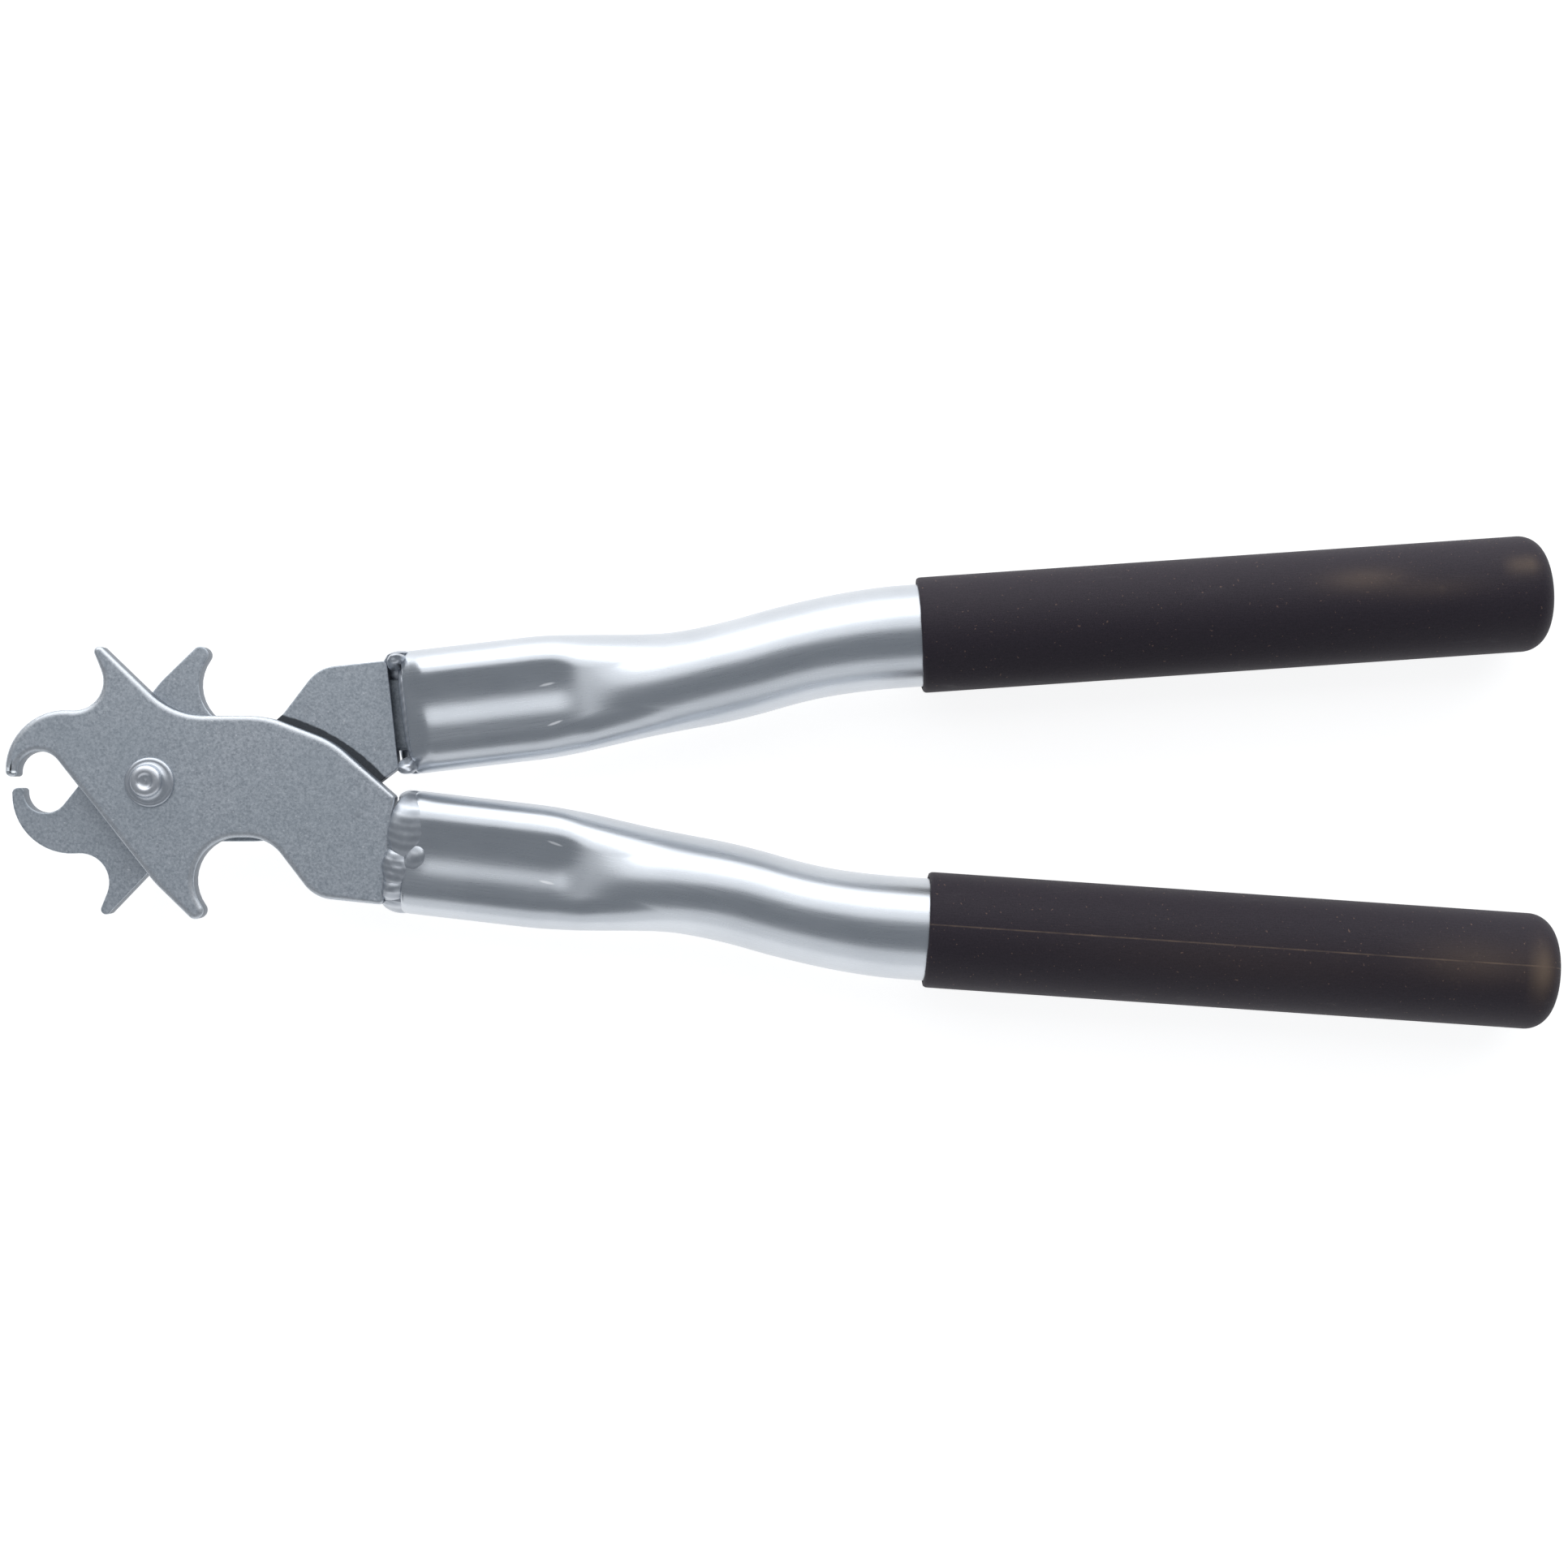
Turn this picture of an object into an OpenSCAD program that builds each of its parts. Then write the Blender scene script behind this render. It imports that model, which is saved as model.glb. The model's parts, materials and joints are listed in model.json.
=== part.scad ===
// Long-handled claw pliers lying flat, with the handles towards +X and the front plate on top.
// Each arm is a stamped plate welded into a flattened, bent tube that carries a sleeve grip.
// Both arms are one design: the upper arm is the lower arm turned over about the X axis.
// Millimetres; the origin is on the bench, under the middle of the whole tool.

/* [Plates] */
// Thickness of each stamped plate
plate_t = 4; // [3:0.5:4]
// Running gap between the two plates
plate_gap = 0.2; // [0.1:0.05:0.3]
// Distance from the pivot to the straight edge that leads to the shank, front plate
front_waist = 12.9; // [11:0.1:13]
// The same distance on the rear plate, which is cut a little narrower
rear_waist = 11.6; // [11:0.1:13]
// Thickness of the tang that enters the tube
tang_t = 3; // [2:0.5:3]
// Width of the tang
tang_w = 14; // [10:1:14]
// Length of the tang past the plate's end
tang_len = 12; // [8:1:16]

/* [Pivot] */
// Diameter of the rivet's shank
shank_d = 6.5; // [5:0.5:7]
// Diameter of the flange of the formed head, in front
flange_d = 9.7; // [8.5:0.1:12]
// Height of the formed head above the front plate
head_h = 2.1; // [1.6:0.1:3]
// Diameter of the dimple that the forming tool leaves
dimple_d = 3.2; // [2:0.1:4]
// Diameter of the factory head, behind
factory_head_d = 11; // [9:0.5:13]
// Height of the factory head
factory_head_h = 2.2; // [1.5:0.1:3]

/* [Tubes] */
// Outside diameter of the tube where it is round
tube_d = 20; // [18:0.5:21]
// Wall thickness of the tube
tube_wall = 1.5; // [1.2:0.1:1.6]
// Width of the flattened end
flat_w = 24.1; // [22:0.1:25]
// Thickness of the flattened end
flat_t = 12; // [11.8:0.1:13]
// Width of the tube through the bends, where bending narrows it
bend_w = 19.2; // [18.5:0.1:20]
// Radius of the first bend, outwards
bend_out_r = 125; // [100:5:200]
// Radius of the second bend, back towards the grip
bend_back_r = 130; // [100:5:200]

/* [Grips] */
// Outside diameter of the grip
grip_d = 22.7; // [22:0.1:26]
// Length of the grip
grip_len = 123; // [100:1:140]
// Radius of the rounded closed end
grip_round = 4.5; // [2:0.5:8]
// How much further the lower grip stands out than the upper one
lower_grip_out = 1.3; // [0:0.1:4]

/* [Pose] */
// Turn of the upper arm about the pivot; above 0 opens the handles
opening = 0; // [-3:0.5:60]

/* [Hidden] */

// Resolution of full circles, and the largest turn between points of a worked-out arc
$fn = 96;
arc_step = 9;

// Angles of the lower tube's straight stretches below the X axis
flat_slope = 6.65;
bend_slope = 16.5;
grip_slope = 3.94;

// Middle of the lower tube's mouth, and the length of the straight stretch up to the first bend
mouth = [49.6, -13.55];
first_straight = 48.7;

// From the mouth: the width tapers from flat_len on, the thickness rises from rise_start on, and
// the narrowed tube swells back to its full round from swell_start on
flat_len = 24;
taper_len = 32;
rise_start = 26;
rise_len = 38;
swell_start = 76;

// The rim is pinched on to the tang by this much, over this length
pinch = 0.5;
pinch_len = 5;

// Lengths along the lower tube's centreline at which each stretch ends
bend_out_end = first_straight + bend_out_r * (bend_slope - flat_slope) * PI / 180;
bend_back_end = bend_out_end + bend_back_r * (bend_slope - grip_slope) * PI / 180;
grip_start = bend_back_end + 2.2;
formed_end = grip_start + 1.8;

// Solid end of the grip, and the room left in it past the tube
grip_end_wall = 6;
grip_end_room = 6;
tube_end = grip_start + grip_len - grip_end_wall - grip_end_room;

// Height of the grip's slightly crowned end face, and the bevel of its front edge
grip_crown = 0.9;
grip_bevel = 0.4;

// The plate's own end stands about this far before the mouth; the tang starts further in by
// tang_root, and lies tang_step below the plate's face
mouth_gap = 4;
tang_root = 2;
tang_step = 0.1;

// Depth of the dimple in the rivet's head, and the thickness of the head's flange
dimple_depth = 0.6;
flange_t = 0.7;

// The formed end of the tube sits this far inside the skin of its straight stretch
lap = 0.05;

// Clearances: shank in each plate, rivet head to the turning plate, grip bore to tube
fixed_clearance = 0.01;
shank_clearance = 0.05;
head_clearance = 0.1;
bore_clearance = 0.02;

// Height of the plates' outer faces from the middle plane
face_z = plate_gap / 2 + plate_t;

// The tool's ends along X from the pivot, which centre it on the origin
beak_end = -28.1;
grip_end = grip_axis_point(lower_grip_out + grip_len).x;
pivot_at = [-(grip_end + beak_end) / 2, 0, grip_d / 2];

zinc = [0.74, 0.77, 0.80];
plate_grey = [0.57, 0.61, 0.66];
weld_grey = [0.66, 0.68, 0.71];
grip_brown = [0.17, 0.14, 0.17];

// ---- Helpers ----

function unit(v) = v / norm(v);
function along(angle) = [cos(angle), sin(angle)];
function smooth(t) = let (u = min(max(t, 0), 1)) u * u * (3 - 2 * u);
function xy(p) = [p.x, p.y];

// Arc of radius r that rounds the corner at b, on the way from a to c
function corner_arc(a, b, c, r) =
  let (
    to_a = unit(a - b),
    to_c = unit(c - b),
    turn = 180 - acos(to_a * to_c),
    side = sign(cross(b - a, c - b)),
    start = b + r * tan(turn / 2) * to_a,
    centre = b + r / cos(turn / 2) * unit(to_a + to_c),
    first = atan2(start.y - centre.y, start.x - centre.x),
    steps = max(2, ceil(turn / arc_step))
  )
  [for (i = [0:steps]) centre + r * along(first + side * turn * i / steps)];

// Closed outline through corners [x, y, radius], every corner rounded
function rounded(corners) =
  let (n = len(corners))
  [for (i = [0:n - 1])
    each corner_arc(xy(corners[(i + n - 1) % n]), xy(corners[i]),
      xy(corners[(i + 1) % n]), corners[i].z)];

// ---- Plates ----

// Corners of the stamped blank round the pivot as [x, y, radius], anticlockwise from the beak
function blank(waist) = [
  [beak_end, 1.1, 1.1],      // beak tip, outside
  [-25.85, 1.1, 0.7],        // beak tip, inside
  [-25.9, 5.97, 4.1],        // mouth of the beak
  [-19.3, 5.97, 4.4],
  [1.0, -19.7, 20],          // long straight edge down to the lower spur
  [8.6, -27.1, 1.55],        // lower spur, blunt tip
  [10.85, -25.2, 1.55],
  [0.5, -10.7, 8.4],         // round notch between the lower spur and the shank
  [22.9, -10.7, 8.4],
  [31.8, -22.4, 7.5],        // outer corner of the shank
  [45.2, -23.8, 0.9],        // end of the plate at the tube
  [47.5, -2.8, 0.9],
  [35.3, waist - 5, 19],
  [22.3, waist, 19],         // straight edge along the waist
  [4.4, waist, 15],
  [-12.6, 29.3, 1.0],        // upper spur, pointed
  [-6.2, 13.4, 5.7],         // round notch behind the beak
  [-28.3, 14.7, 11.6],       // back of the beak
];

module plate(waist, hole_r) {
  difference() {
    union() {
      translate([0, 0, plate_gap / 2])
        linear_extrude(plate_t) polygon(rounded(blank(waist)));
      tang();
    }
    translate([0, 0, -plate_gap])
      cylinder(h = face_z + 2 * plate_gap, r = hole_r);
  }
}

// Tongue that carries the plate on into the tube's mouth, just below the plate's outer face
module tang() {
  at_mouth()
    translate([-mouth_gap - tang_root, -tang_w / 2, face_z - tang_t])
      cube([tang_root + tang_len, tang_w, tang_t - tang_step]);
}

// ---- Rivet ----

// Half section of the rivet as [radius, height], from the front dimple down to the back
function rivet_section() =
  let (
    r = shank_d / 2,
    top = face_z + head_h,
    back = -(face_z + head_clearance),
    low = back - factory_head_h
  )
  [
    [0, top - dimple_depth], [dimple_d / 2 - 0.35, top - dimple_depth + 0.1],
    [dimple_d / 2, top - 0.05], [r - 0.9, top], [r - 0.25, top - 0.35], [r, top - 0.95],
    [r + 0.15, face_z + flange_t + 0.15], [flange_d / 2 - 0.5, face_z + flange_t],
    [flange_d / 2, face_z + 0.3], [flange_d / 2, face_z],
    [r, face_z], [r, back], [factory_head_d / 2, back],
    [factory_head_d / 2, back - 0.8], [factory_head_d / 2 - 0.9, back - 1.6],
    [factory_head_d / 2 - 2.6, low], [0, low],
  ];

// ---- Tubes ----

function flat_dir() = along(-flat_slope);
function bend_start() = mouth + first_straight * flat_dir();

// Point at distance d along an arc that leaves p at angle from and turns by turn over radius r
function arc_point(p, from, r, d, way) =
  let (swept = way * d / r * 180 / PI)
  p + way * r * (along(from + swept - 90) - along(from - 90));

function bend_out_point(s) =
  arc_point(bend_start(), -flat_slope, bend_out_r, s - first_straight, -1);
function bend_back_point(s) =
  arc_point(bend_out_point(bend_out_end), -bend_slope, bend_back_r, s - bend_out_end, 1);

// Centreline of the lower tube, and its direction, at distance s from the mouth
function centreline(s) =
  s < first_straight ? mouth + s * flat_dir() :
  s < bend_out_end ? bend_out_point(s) :
  s < bend_back_end ? bend_back_point(s) :
  bend_back_point(bend_back_end) + (s - bend_back_end) * along(-grip_slope);
function slope(s) =
  s < first_straight ? -flat_slope :
  s < bend_out_end ? -flat_slope - (s - first_straight) / bend_out_r * 180 / PI :
  s < bend_back_end ? -bend_slope + (s - bend_out_end) / bend_back_r * 180 / PI :
  -grip_slope;

// Point on the grip's axis at distance d from the upper grip's front edge
function grip_axis_point(d) = centreline(grip_start + d);

// Width and thickness of the tube's outside at s: flat, then round, a little narrowed in the
// bends, and pinched on to the tang at the mouth
function tapered(s) = smooth((s - flat_len) / taper_len);
function risen(s) = smooth((s - rise_start) / rise_len);
function swollen(s) = smooth((s - swell_start) / (bend_back_end - swell_start));
function width_at(s) =
  flat_w + (bend_w - flat_w) * tapered(s) + (tube_d - 2 * lap - bend_w) * swollen(s);
function thick_at(s) =
  flat_t + (2 * tube_d - bend_w - flat_t) * risen(s) + (bend_w - tube_d - 2 * lap) * swollen(s)
    - pinch * (1 - smooth(s / pinch_len));

// Ring of points round the centreline at s, drawn in by inset: a rectangle with round ends
sides = 32;
function ring(s, inset) =
  let (
    a = width_at(s) / 2 - inset,
    b = thick_at(s) / 2 - inset,
    r = min(a, b),
    p = centreline(s),
    across = along(slope(s) + 90)
  )
  [for (i = [0:sides - 1])
    let (
      t = (i + 0.5) * 360 / sides,
      u = sign(cos(t)) * (a - r) + r * cos(t),
      v = sign(sin(t)) * (b - r) + r * sin(t)
    )
    [p.x + u * across.x, p.y + u * across.y, v]];

// Distances from the mouth at which the formed end has a ring: close together at the pinched
// rim, two on the flat stretch, then evenly spaced
even_rings = 22;
even_from = flat_len + 1;
stations = concat([0, 1.2, 2.6, pinch_len, flat_len - 2],
  [for (i = [0:even_rings]) even_from + i * (formed_end - even_from) / even_rings]);

// Hollow sweep of the tube's formed end: outside rings, inside rings, and the two end faces
module formed_tube() {
  n = len(stations);
  outer = [for (s = stations) each ring(s, 0)];
  inner = [for (s = stations) each ring(s, tube_wall - 2 * lap)];
  base = n * sides;
  faces = [
    for (k = [0:n - 2], i = [0:sides - 1])
      let (j = (i + 1) % sides, a = k * sides, b = a + sides)
      each [[a + i, b + j, a + j], [a + i, b + i, b + j],
        [base + a + j, base + b + i, base + a + i], [base + a + j, base + b + j, base + b + i]],
    for (i = [0:sides - 1])
      let (j = (i + 1) % sides, e = (n - 1) * sides)
      each [[j, base + i, i], [j, base + j, base + i],
        [e + i, base + e + j, e + j], [e + i, base + e + i, base + e + j]]
  ];
  polyhedron(concat(outer, inner), faces, convexity = 4);
}

// Puts children on the lower tube's centreline at s, with X along it
module at_tube(s) {
  p = centreline(s);
  translate([p.x, p.y, 0]) rotate([0, 0, slope(s)]) children();
}

module at_mouth() {
  at_tube(0) children();
}

module tube() {
  formed_tube();
  straight = formed_end - 1;
  at_tube(straight)
    rotate([0, 90, 0])
      difference() {
        cylinder(h = tube_end - straight, d = tube_d);
        translate([0, 0, -1])
          cylinder(h = tube_end - straight + 2, d = tube_d - 2 * tube_wall);
      }
}

// ---- Welds ----

// Spindle of weld metal across the joint, with its middle at [along, across, up]
module spindle(middle, half_len, r) {
  translate(middle)
    rotate([90, 0, 0])
      rotate_extrude()
        polygon([for (i = [0:12]) let (t = -90 + i * 15) [r * cos(t), half_len * sin(t)]]);
}

// Outer bead: three laps of weld from the plate's face on to the tube
module outer_weld() {
  at_mouth() {
    spindle([-0.6, 5.6, 3.7], 5.6, 3.0);
    spindle([-1.2, -2.4, 3.6], 4.4, 2.6);
    spindle([-1.2, -7.6, 3.5], 3.4, 2.3);
  }
}

// Root run in the groove on the inner side, between the plate's end and the tube's rim
module root_weld() {
  at_mouth() {
    spindle([-1.5, 0, 0.9], 10.2, 1.1);
    spindle([-1.2, 9.6, 2.2], 1.6, 2.0);
    spindle([-1.2, -9.6, 2.2], 1.6, 2.0);
  }
}

// ---- Grips ----

// Sleeve with a blind bore, its front edge at the origin and its closed end towards +X
module grip() {
  r = grip_d / 2;
  bore_r = tube_d / 2 + bore_clearance;
  bore_len = grip_len - grip_end_wall;
  shoulder = grip_len - grip_crown - grip_round;
  corner = [for (t = [90:-10:10]) [r - grip_round * (1 - sin(t)), shoulder + grip_round * cos(t)]];
  face = [for (u = [2 / 3, 1 / 3, 0]) [(r - grip_round) * u, grip_len - grip_crown * u * u]];
  rotate([0, 90, 0])
    rotate_extrude()
      polygon(concat(
        [[bore_r, 0], [r - grip_bevel, 0], [r, grip_bevel]],
        corner,
        face,
        [[0, bore_len], [bore_r, bore_len]]
      ));
}

// ---- The two arms in the tool's frame ----

module lower_arm() {
  translate(pivot_at) children();
}

module upper_arm() {
  translate(pivot_at)
    rotate([0, 0, opening])
      rotate([180, 0, 0]) children();
}

module front_plate() {
  color(plate_grey) lower_arm() plate(front_waist, shank_d / 2 + fixed_clearance);
}

module rear_plate() {
  color(plate_grey) upper_arm() plate(rear_waist, shank_d / 2 + shank_clearance);
}

module pivot_rivet() {
  color(zinc) lower_arm() rotate_extrude() polygon(rivet_section());
}

module lower_tube() {
  color(zinc) lower_arm() tube();
}

module upper_tube() {
  color(zinc) upper_arm() tube();
}

module lower_outer_weld() {
  color(weld_grey) lower_arm() outer_weld();
}

module upper_outer_weld() {
  color(weld_grey) upper_arm() outer_weld();
}

module lower_root_weld() {
  color(weld_grey) lower_arm() root_weld();
}

module upper_root_weld() {
  color(weld_grey) upper_arm() root_weld();
}

module lower_grip() {
  color(grip_brown) lower_arm() at_tube(grip_start + lower_grip_out) grip();
}

module upper_grip() {
  color(grip_brown) upper_arm() at_tube(grip_start) grip();
}

front_plate();
rear_plate();
pivot_rivet();
lower_tube();
upper_tube();
lower_outer_weld();
upper_outer_weld();
lower_root_weld();
upper_root_weld();
lower_grip();
upper_grip();
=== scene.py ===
"""Finished look of a pair of long-handled claw pliers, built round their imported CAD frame.

Shapes are worked out in millimetres in the lower arm's own frame, which has the pivot at its
origin, X towards the handles and Z up. The upper arm is the same arm turned over about X.
"""
import json
import math

import bpy
import numpy as np
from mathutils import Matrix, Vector
from mathutils.geometry import tessellate_polygon


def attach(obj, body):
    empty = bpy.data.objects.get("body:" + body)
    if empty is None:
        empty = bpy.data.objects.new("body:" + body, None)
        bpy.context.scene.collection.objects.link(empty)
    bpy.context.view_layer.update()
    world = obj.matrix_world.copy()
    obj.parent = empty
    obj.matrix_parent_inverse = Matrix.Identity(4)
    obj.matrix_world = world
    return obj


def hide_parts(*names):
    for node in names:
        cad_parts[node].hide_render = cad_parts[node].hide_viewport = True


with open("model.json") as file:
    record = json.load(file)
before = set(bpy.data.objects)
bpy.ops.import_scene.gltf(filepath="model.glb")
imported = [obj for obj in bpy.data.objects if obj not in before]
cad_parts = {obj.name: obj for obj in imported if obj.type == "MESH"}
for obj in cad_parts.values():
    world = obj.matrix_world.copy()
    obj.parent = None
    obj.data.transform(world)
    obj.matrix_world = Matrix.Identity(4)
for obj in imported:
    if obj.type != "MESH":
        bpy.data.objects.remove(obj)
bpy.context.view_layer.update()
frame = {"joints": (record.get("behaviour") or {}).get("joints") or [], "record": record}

MM = 0.001
PIVOT = np.array(frame["joints"][0]["pos_m"])
MOUNTS = {mount["name"]: mount for mount in frame["record"]["mounts"]}
GRIP_R = MOUNTS["lower_handle"]["dims"]["r_mm"]

# ---- Sizes of the arm, in millimetres, the same as the frame's ----

FACE_Z = 4.1
GAP_Z = 0.1
FRONT_WAIST = 12.9
REAR_WAIST = 11.6
ROLL_REACH = 1.15
ROLL_DROP = 0.65
BACK_EDGE = 0.22
BACK_LAND = 0.42
FACE_LAND = 0.15
CORNER_SHARE = 0.9
SHANK_R = 3.25
HOLE_R = 3.3
HOLE_PROFILE = [(HOLE_R + 0.5, GAP_Z), (HOLE_R + 0.25, GAP_Z), (HOLE_R, GAP_Z + 0.15),
                (HOLE_R, FACE_Z - 0.15), (HOLE_R + 0.25, FACE_Z), (HOLE_R + 0.5, FACE_Z)]

MOUTH = np.array([49.6, -13.55])
FLAT_SLOPE, BEND_SLOPE, GRIP_SLOPE = np.radians([6.65, 16.5, 3.94])
FIRST_STRAIGHT = 48.7
BEND_OUT_R = 125.0
BEND_BACK_R = 130.0
BEND_OUT_END = FIRST_STRAIGHT + BEND_OUT_R * (BEND_SLOPE - FLAT_SLOPE)
BEND_BACK_END = BEND_OUT_END + BEND_BACK_R * (BEND_SLOPE - GRIP_SLOPE)
GRIP_START = BEND_BACK_END + 2.2
GRIP_LEN = 123.0
GRIP_ROUND = 4.5
GRIP_CROWN = 0.9
GRIP_SKIN = 0.05
GRIP_INSIDE = 8.0
LOWER_GRIP_OUT = 1.3

TUBE_D = 20.0
TUBE_WALL = 1.5
TUBE_HIDDEN = 14
RIM_STRETCH = 1.9
FLAT_W = 24.1
FLAT_T = 12.0
BEND_W = 19.2
FLAT_LEN = 24.0
TAPER_LEN = 32.0
RISE_START = 26.0
RISE_LEN = 38.0
SWELL_START = 76.0

# The pressed flats: how they sank, how the section leans past them, how the mouth was closed

FULLY_FLAT = 5.0
DISH_DEPTH = 0.76
DISH_HALF = 6.2
DISH_ASIDE_ABOVE, DISH_ASIDE_BELOW = 0.9, -1.7
DISH_END = 34.5
DISH_RUN = 5.0
TWIST = 0.13
TWIST_START, TWIST_RISE = 29.0, 7.0
TWIST_END, TWIST_FADE = 66.0, 24.0
CLOSED_BELOW, CLOSED_ABOVE = 1.9, 0.15
CLOSED_RUN = 5.0

# A flat section's ring in 128 parts: at each knot, the round end's turn and the side it is on

RING_PARTS = 128
RING_KNOTS = [0, 20, 44, 84, 108, 128]
KNOT_TURNS = [0, 90, 90, 270, 270, 360]
KNOT_SIDES = [1, 1, -1, -1, 1, 1]

# Points in one ring of each shape, and the length that one unit of a piece's own map stands for

HOLE_STEPS = 64
TANG_STEPS = 48
TUBE_STEPS = 144
BEAD_ROWS, BEAD_STEPS = 73, 64
RIVET_STEPS = 112
GRIP_STEPS = 128
MAP_PER_MM = 0.02

# Painted shadow on the rear plate beside the front plate's edge: the arc's centre and radius, its
# width, where it begins

SHADOW_LINE_X, SHADOW_LINE_Y = 14.3, 27.0
SHADOW_LINE_RADIUS = 40.8
SHADOW_LINE_RAGGED = 0.4
SHADOW_LINE_FULL, SHADOW_LINE_GONE = 0.75, 1.05
SHADOW_LINE_START, SHADOW_LINE_WHOLE = 18.0, 23.0

# Press marks on the tube's own map: place along and around, then the half sizes of each

PRESS_MARKS = ((0.560, 0.425), (0.575, 0.670))
PRESS_HALF_LONG, PRESS_HALF_WIDE = 0.030, 0.008
MOULD_LINE_AT = 0.2260


# ---- Small helpers ----

def smooth(t):
    """Eased step: 3t^2 - 2t^3 with t held between 0 and 1."""
    t = np.clip(t, 0.0, 1.0)
    return t * t * (3.0 - 2.0 * t)


def to_row(points, upper):
    """Arm frame in millimetres to the row frame in metres; the upper arm is turned over."""
    flipped = points * (np.array([1.0, -1.0, -1.0]) if upper else 1.0)
    return PIVOT + flipped * MM


def grid_quads(rows, cols, start=0):
    """Quads between closed rings of cols points each, facing along (row step) x (column step)."""
    i, j = [a.ravel() for a in np.meshgrid(np.arange(rows - 1), np.arange(cols), indexing="ij")]
    up, right = i + 1, (j + 1) % cols
    return start + np.stack([i * cols + j, up * cols + j, up * cols + right, i * cols + right], 1)


def fan(ring, centre):
    """Triangles from a closed ring of point numbers to one centre point."""
    return np.stack([ring, np.roll(ring, -1), np.full(len(ring), centre)], 1)


def piece(name, points, faces, upper, uv=None, marks=None):
    """Mesh object from points in the arm frame; faces is a list of integer arrays.

    uv gives one (u, v) per point and marks named numbers per point, for the materials to read.
    """
    mesh = bpy.data.meshes.new(name)
    corners = [face for block in faces for face in block.tolist()]
    mesh.from_pydata(to_row(points, upper).tolist(), [], corners)
    mesh.polygons.foreach_set("use_smooth", np.ones(len(mesh.polygons), bool))
    if uv is not None:
        layer = mesh.uv_layers.new(name="along")
        of_corner = np.zeros(len(mesh.loops), int)
        mesh.loops.foreach_get("vertex_index", of_corner)
        layer.data.foreach_set("uv", uv[of_corner].astype(np.float32).ravel())
    for key, values in (marks or {}).items():
        mark = mesh.attributes.new(key, "FLOAT", "POINT")
        mark.data.foreach_set("value", np.asarray(values, np.float32))
    mesh.update()
    made = bpy.data.objects.new(name, mesh)
    bpy.context.scene.collection.objects.link(made)
    return made


def finish_piece(made, node, material, body):
    """Gives a piece its material and its place in the frame."""
    made.data.materials.append(material)
    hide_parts(node)
    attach(made, body)


# ---- Node groups and materials ----

def new_group(name, inputs, outputs):
    """Empty shader group with named number inputs (with defaults) and named outputs."""
    group = bpy.data.node_groups.new(name, "ShaderNodeTree")
    for key, default in inputs.items():
        kind = "NodeSocketVector" if isinstance(default, tuple) else "NodeSocketFloat"
        socket = group.interface.new_socket(key, in_out="INPUT", socket_type=kind)
        socket.default_value = default
    for key in outputs:
        group.interface.new_socket(key, in_out="OUTPUT", socket_type="NodeSocketFloat")
    return group, group.nodes.new("NodeGroupInput"), group.nodes.new("NodeGroupOutput")


class Wiring:
    """Short ways to add and join nodes in one tree."""

    def __init__(self, tree):
        self.tree = tree

    def put(self, socket, value):
        """Links another node's output to a socket, or sets the socket's own value."""
        if isinstance(value, bpy.types.NodeSocket):
            self.tree.links.new(value, socket)
        else:
            socket.default_value = value

    def node(self, kind, **inputs):
        """New node with its inputs given by name, an underscore standing for a space."""
        made = self.tree.nodes.new(kind)
        for key, value in inputs.items():
            self.put(made.inputs[key.replace("_", " ")], value)
        return made

    def math(self, operation, a, b=0.0):
        made = self.tree.nodes.new("ShaderNodeMath")
        made.operation = operation
        self.put(made.inputs[0], a)
        self.put(made.inputs[1], b)
        return made.outputs[0]

    def spread(self, value, low, high, to_low=0.0, to_high=1.0):
        """Carries low..high over to to_low..to_high in a straight line, held at both ends."""
        made = self.tree.nodes.new("ShaderNodeMapRange")
        for index, given in enumerate((value, low, high, to_low, to_high)):
            self.put(made.inputs[index], given)
        return made.outputs[0]

    def noise(self, vector, scale, detail=3.0, roughness=0.5):
        made = self.node("ShaderNodeTexNoise", Vector=vector, Scale=scale, Detail=detail,
                         Roughness=roughness)
        return made.outputs["Fac"]

    def stretched(self, vector, scale):
        made = self.tree.nodes.new("ShaderNodeMapping")
        self.put(made.inputs["Vector"], vector)
        self.put(made.inputs["Scale"], scale)
        return made.outputs["Vector"]

    def mix(self, share, a, b):
        """Colour a with a share of colour b over it."""
        made = self.tree.nodes.new("ShaderNodeMix")
        made.data_type = "RGBA"
        self.put(made.inputs[0], share)
        self.put(made.inputs[6], a)
        self.put(made.inputs[7], b)
        return made.outputs[2]

    def group(self, group, **inputs):
        made = self.tree.nodes.new("ShaderNodeGroup")
        made.node_tree = group
        for key, value in inputs.items():
            self.put(made.inputs[key.replace("_", " ")], value)
        return made.outputs


def plated_grain_group():
    """Fine sandy grain of a bright-plated surface: grain, cloudy tone, pale specks, height."""
    group, given, out = new_group(
        "plated_grain", {"Vector": (0.0, 0.0, 0.0), "Grain scale": 2500.0, "Speck scale": 900.0},
        ["Grain", "Cloud", "Specks", "Height"])
    w = Wiring(group)
    fine = w.noise(given.outputs["Vector"], given.outputs["Grain scale"], 4.0, 0.65)
    cloud = w.noise(given.outputs["Vector"], 60.0, 3.0, 0.55)
    spots = w.noise(given.outputs["Vector"], given.outputs["Speck scale"], 1.0, 0.3)
    specks = w.spread(spots, 0.73, 0.80)
    height = w.math("ADD", fine, w.math("MULTIPLY", specks, 0.6))
    w.put(out.inputs["Grain"], w.spread(fine, 0.3, 0.7))
    w.put(out.inputs["Cloud"], w.spread(cloud, 0.3, 0.7))
    w.put(out.inputs["Specks"], specks)
    w.put(out.inputs["Height"], height)
    return group


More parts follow.
